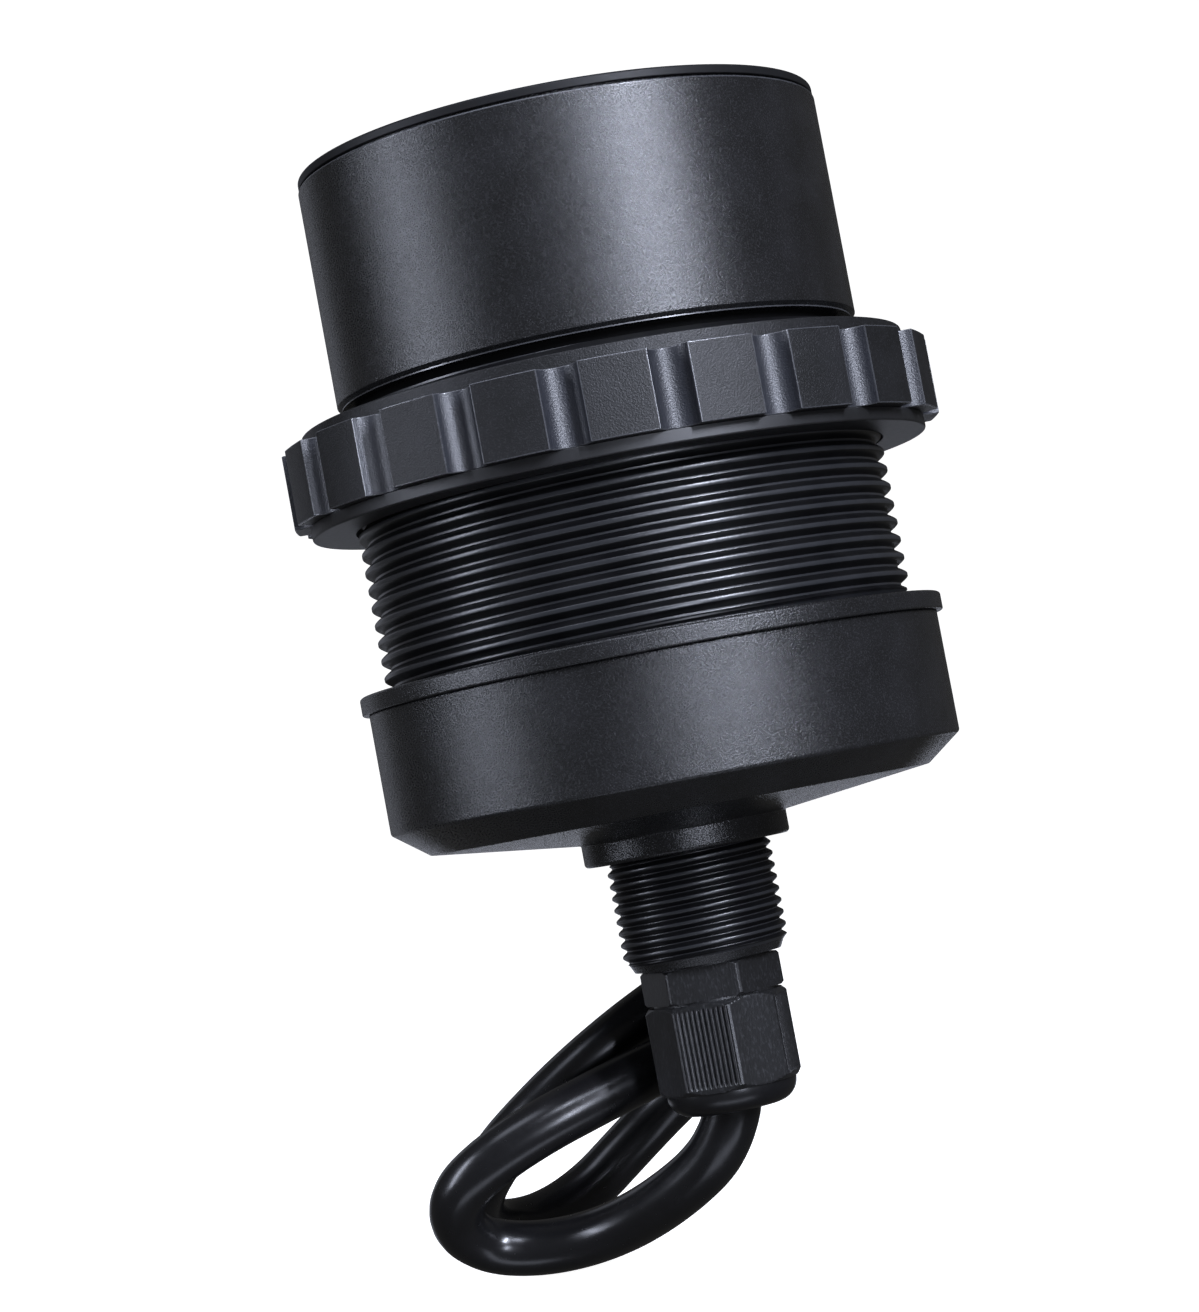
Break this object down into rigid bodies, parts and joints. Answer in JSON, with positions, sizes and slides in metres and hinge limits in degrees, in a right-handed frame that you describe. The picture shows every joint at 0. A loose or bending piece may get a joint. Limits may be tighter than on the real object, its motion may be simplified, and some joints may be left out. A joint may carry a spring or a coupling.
{
  "type": "ultrasonic level sensor",
  "caption": "Ultrasonic level sensor: cylindrical head over a coarse main thread with a lobed ring nut and gasket, wide rear housing, threaded neck, cable gland and looped cable.",
  "frame": {"origin": "centre of the lip's upper face, the level that seats against the tank, on the sensor's axis", "axes": "+Z along the axis towards the sensing face; the main thread rises from the origin along +Z; -Y faces the camera of the picture and +X is to its right"},
  "size_m": [0.1109, 0.1189, 0.1915],
  "materials": {
    "moulded_black": "fine leather grain, charcoal black",
    "face_grey": "smooth, slightly satin",
    "nut_black": "fine grain on the lands, glossier in the grip grooves",
    "gasket_black": "smooth rubber",
    "gland_black": "smooth nylon",
    "seal_black": "smooth rubber",
    "cable_black": "smooth satin sheath",
    "core_insulation": "coloured insulation",
    "ceramic": "fired ceramic with silvered faces",
    "matching_resin": "filled resin",
    "backing_resin": "loaded resin",
    "cork": "cork composition",
    "foam": "closed-cell foam",
    "probe_steel": "thin steel tube",
    "board_green": "glass-fibre board",
    "spring_steel": "spring steel",
    "ferrite": "dark ferrite",
    "copper_winding": "enamelled copper winding",
    "capacitor_sleeve": "sleeved aluminium can",
    "chip_black": "moulded package",
    "plug_white": "natural nylon",
    "terminal_green": "moulded terminal"
  },
  "bodies": {
    "housing": {"sensing_face": "face_grey", "head_shell": "moulded_black", "matching_layer": "matching_resin", "piezo_disc": "ceramic", "damping_block": "backing_resin", "isolation_pad": "cork", "isolation_sleeve": "foam", "temperature_probe": "probe_steel", "probe_lead": "core_insulation", "piezo_leads": "core_insulation", "threaded_body": "moulded_black", "head_oring": "seal_black", "circuit_board": "board_green", "board_ring": "spring_steel", "transformer_core": "ferrite", "transformer_coil": "copper_winding", "capacitors": "capacitor_sleeve", "chips": "chip_black", "lead_plug": "plug_white", "probe_plug": "plug_white", "terminal_block": "terminal_green", "rear_cap": "moulded_black", "cap_oring": "seal_black", "gland_gasket": "seal_black", "gland_body": "gland_black", "gland_claw": "gland_black", "gland_seal": "seal_black", "gland_nut": "gland_black", "cable_inside": "cable_black", "cable_cores": "core_insulation", "cable": "cable_black", "cable_end_cores": "core_insulation"},
    "washer": {"nut_gasket": "gasket_black"},
    "nut": {"ring_nut": "nut_black"}
  },
  "joints": [
    {"name": "nut_travel", "type": "slide", "parent": "housing", "child": "washer", "axis": [0, 0, 1], "range_m": [-0.0273, 0.015]},
    {"name": "nut_turn", "type": "hinge", "parent": "washer", "child": "nut", "pos_m": [0, 0, 0.037], "axis": [0, 0, 1], "range_deg": [-3270, 1795]}
  ],
  "couplings": [
    {"joint": "nut_travel", "follows": "nut_turn", "m_per_rad": 0.00047746}
  ]
}
